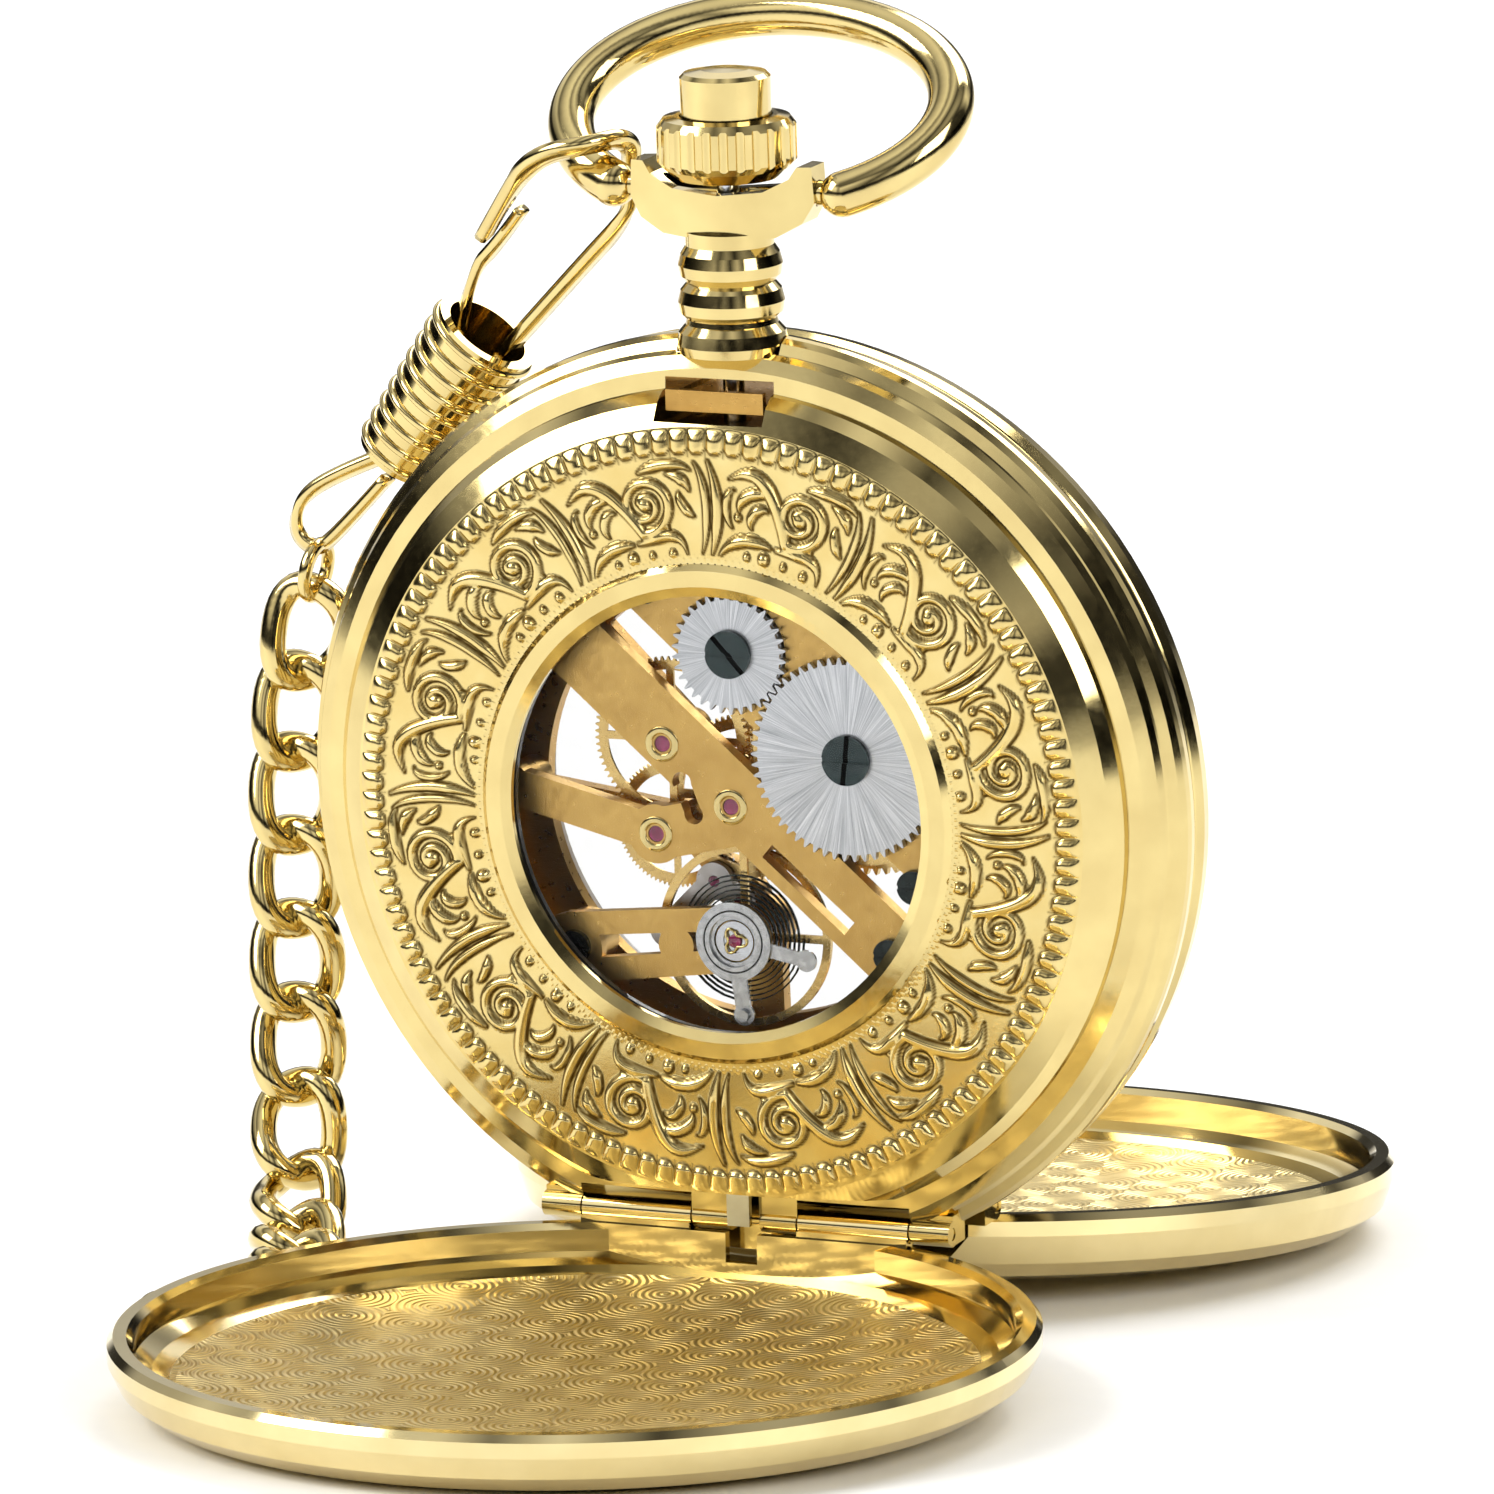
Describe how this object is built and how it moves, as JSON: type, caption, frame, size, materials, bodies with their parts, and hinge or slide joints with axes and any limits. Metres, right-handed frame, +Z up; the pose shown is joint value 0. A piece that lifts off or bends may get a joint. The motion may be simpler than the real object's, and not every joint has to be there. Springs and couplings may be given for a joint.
{
  "type": "pocket watch",
  "caption": "Skeleton pocket watch with two hinged covers open, standing upright, with bow, fluted crown, see-through movement and a short fob chain on a spring clip.",
  "frame": {"origin": "on the ground, at the centre of the footprint and of the width of the open watch without its clip and chain", "axes": "+Z up, -Y the side on which the movement shows, +X to the right when the movement is looked at"},
  "size_m": [0.0536, 0.0928, 0.066],
  "materials": {
    "case_gold": "polished",
    "cover_gold": "polished",
    "engraved_gold": "engraved and polished",
    "movement_gold": "satin",
    "wheel_brass": "satin",
    "steel": "polished",
    "dark_steel": "blackened",
    "blue_steel": "blued",
    "crystal": "clear",
    "seal": "matt",
    "ruby": "polished synthetic ruby",
    "dial_paint": "enamel"
  },
  "bodies": {
    "case": {"case_middle": "case_gold", "back_bezel": "engraved_gold", "back_crystal": "crystal", "back_gasket": "seal", "front_bezel": "case_gold", "front_crystal": "crystal", "front_gasket": "seal", "movement_ring": "movement_gold", "dial": "dial_paint", "back_hinge_pin": "case_gold", "front_hinge_pin": "case_gold", "back_lift_spring": "steel", "front_lift_spring": "steel", "cover_catch": "steel", "pendant": "case_gold", "main_plate": "movement_gold", "barrel_bridge": "movement_gold", "train_bridge": "movement_gold", "balance_cock": "movement_gold", "pallet_bridge": "steel", "bridge_screws": "dark_steel", "jewels": "ruby", "stud_carrier": "steel", "shock_setting": "steel", "click_spring": "steel", "crown_wheel_screw": "dark_steel", "clip_hook": "case_gold", "clip_sleeve": "case_gold", "chain": "case_gold", "t_bar": "case_gold"},
    "back_lid": {"back_cover": "cover_gold"},
    "front_lid": {"front_cover": "cover_gold"},
    "bow_ring": {"bow": "case_gold"},
    "winding_crown": {"crown": "case_gold", "winding_stem": "steel", "winding_pinion": "steel"},
    "release_button": {"crown_button": "case_gold"},
    "crown_wheel_body": {"crown_wheel": "steel"},
    "ratchet": {"ratchet_wheel": "steel", "barrel_arbor": "steel", "ratchet_screw": "dark_steel"},
    "pawl": {"click": "steel"},
    "spring_barrel": {"barrel": "wheel_brass", "mainspring": "steel"},
    "centre": {"center_wheel": "wheel_brass", "cannon_pinion": "wheel_brass", "minute_hand": "blue_steel"},
    "third": {"third_wheel": "wheel_brass"},
    "fourth": {"fourth_wheel": "wheel_brass"},
    "escape": {"escape_wheel": "steel"},
    "lever": {"pallet_fork": "steel"},
    "balance": {"balance_wheel": "steel", "hairspring": "blue_steel"},
    "index": {"regulator": "steel"},
    "minute_work": {"minute_wheel": "wheel_brass"},
    "hour": {"hour_wheel": "wheel_brass", "hour_hand": "blue_steel"},
    "gate": {"clip_gate": "case_gold"}
  },
  "joints": [
    {"name": "back_cover_hinge", "type": "hinge", "parent": "case", "child": "back_lid", "pos_m": [0, -0.00279, 0.00543], "axis": [-1, 0, 0], "range_deg": [0, 87.4], "stiffness_Nm_per_rad": 0.008, "springref_deg": -126.05},
    {"name": "front_cover_hinge", "type": "hinge", "parent": "case", "child": "front_lid", "pos_m": [0, 0.00279, 0.00579], "axis": [1, 0, 0], "range_deg": [0, 95.4], "stiffness_Nm_per_rad": 0.008, "springref_deg": -126.05},
    {"name": "bow_swing", "type": "hinge", "parent": "case", "child": "bow_ring", "pos_m": [0, -0.00483, 0.0571], "axis": [1, 0, 0], "range_deg": [-45, 0]},
    {"name": "crown_turn", "type": "hinge", "parent": "case", "child": "winding_crown", "pos_m": [0, -0.00415, 0.04653], "axis": [0, -0.0645, 0.9979], "continuous": true},
    {"name": "button_press", "type": "slide", "parent": "winding_crown", "child": "release_button", "axis": [0, 0.0645, -0.9979], "range_m": [0, 0.0006], "stiffness_N_per_m": 40},
    {"name": "crown_wheel_turn", "type": "hinge", "parent": "case", "child": "crown_wheel_body", "pos_m": [0.00035, -0.00556, 0.03424], "axis": [0, -0.9979, -0.0645], "continuous": true},
    {"name": "ratchet_turn", "type": "hinge", "parent": "case", "child": "ratchet", "pos_m": [0.0065, -0.00524, 0.02929], "axis": [0, -0.9979, -0.0645], "continuous": true},
    {"name": "click_rock", "type": "hinge", "parent": "case", "child": "pawl", "pos_m": [0.0112, -0.00554, 0.03401], "axis": [0, -0.9979, -0.0645], "range_deg": [-4, 4], "stiffness_Nm_per_rad": 0.000002},
    {"name": "barrel_turn", "type": "hinge", "parent": "case", "child": "spring_barrel", "pos_m": [0.0065, -0.00324, 0.02942], "axis": [0, -0.9979, -0.0645], "continuous": true},
    {"name": "centre_turn", "type": "hinge", "parent": "case", "child": "centre", "pos_m": [0, -0.00206, 0.02662], "axis": [0, -0.9979, -0.0645], "continuous": true},
    {"name": "third_turn", "type": "hinge", "parent": "case", "child": "third", "pos_m": [-0.00359, -0.00225, 0.02958], "axis": [0, -0.9979, -0.0645], "continuous": true},
    {"name": "fourth_turn", "type": "hinge", "parent": "case", "child": "fourth", "pos_m": [-0.00407, -0.00196, 0.025], "axis": [0, -0.9979, -0.0645], "continuous": true},
    {"name": "escape_turn", "type": "hinge", "parent": "case", "child": "escape", "pos_m": [-0.00175, -0.00179, 0.02238], "axis": [0, -0.9979, -0.0645], "continuous": true},
    {"name": "lever_rock", "type": "hinge", "parent": "case", "child": "lever", "pos_m": [-0.00045, -0.00172, 0.02143], "axis": [0, -0.9979, -0.0645], "range_deg": [-5, 5]},
    {"name": "balance_swing", "type": "hinge", "parent": "case", "child": "balance", "pos_m": [0.00011, -0.00262, 0.01984], "axis": [0, -0.9979, -0.0645], "range_deg": [-270, 270]},
    {"name": "index_turn", "type": "hinge", "parent": "case", "child": "index", "pos_m": [0.00011, -0.00462, 0.01971], "axis": [0, -0.9979, -0.0645], "range_deg": [-12, 20]},
    {"name": "minute_work_turn", "type": "hinge", "parent": "case", "child": "minute_work", "pos_m": [0.0022, 0.00007, 0.02471], "axis": [0, -0.9979, -0.0645], "continuous": true},
    {"name": "hour_turn", "type": "hinge", "parent": "case", "child": "hour", "pos_m": [0, -0.00006, 0.02675], "axis": [0, -0.9979, -0.0645], "continuous": true},
    {"name": "gate_press", "type": "hinge", "parent": "case", "child": "gate", "pos_m": [-0.017, 0.00062, 0.04874], "axis": [0, -0.9979, -0.0645], "range_deg": [-9, 0], "stiffness_Nm_per_rad": 0.0002}
  ],
  "couplings": [
    {"joint": "third_turn", "follows": "fourth_turn", "ratio": -0.13333},
    {"joint": "centre_turn", "follows": "fourth_turn", "ratio": 0.016667},
    {"joint": "barrel_turn", "follows": "fourth_turn", "ratio": -0.0027778},
    {"joint": "escape_turn", "follows": "fourth_turn", "ratio": -10},
    {"joint": "minute_work_turn", "follows": "fourth_turn", "ratio": -0.0055556},
    {"joint": "hour_turn", "follows": "fourth_turn", "ratio": 0.0013889},
    {"joint": "crown_wheel_turn", "follows": "crown_turn", "ratio": -0.47059},
    {"joint": "ratchet_turn", "follows": "crown_turn", "ratio": 0.27586}
  ]
}
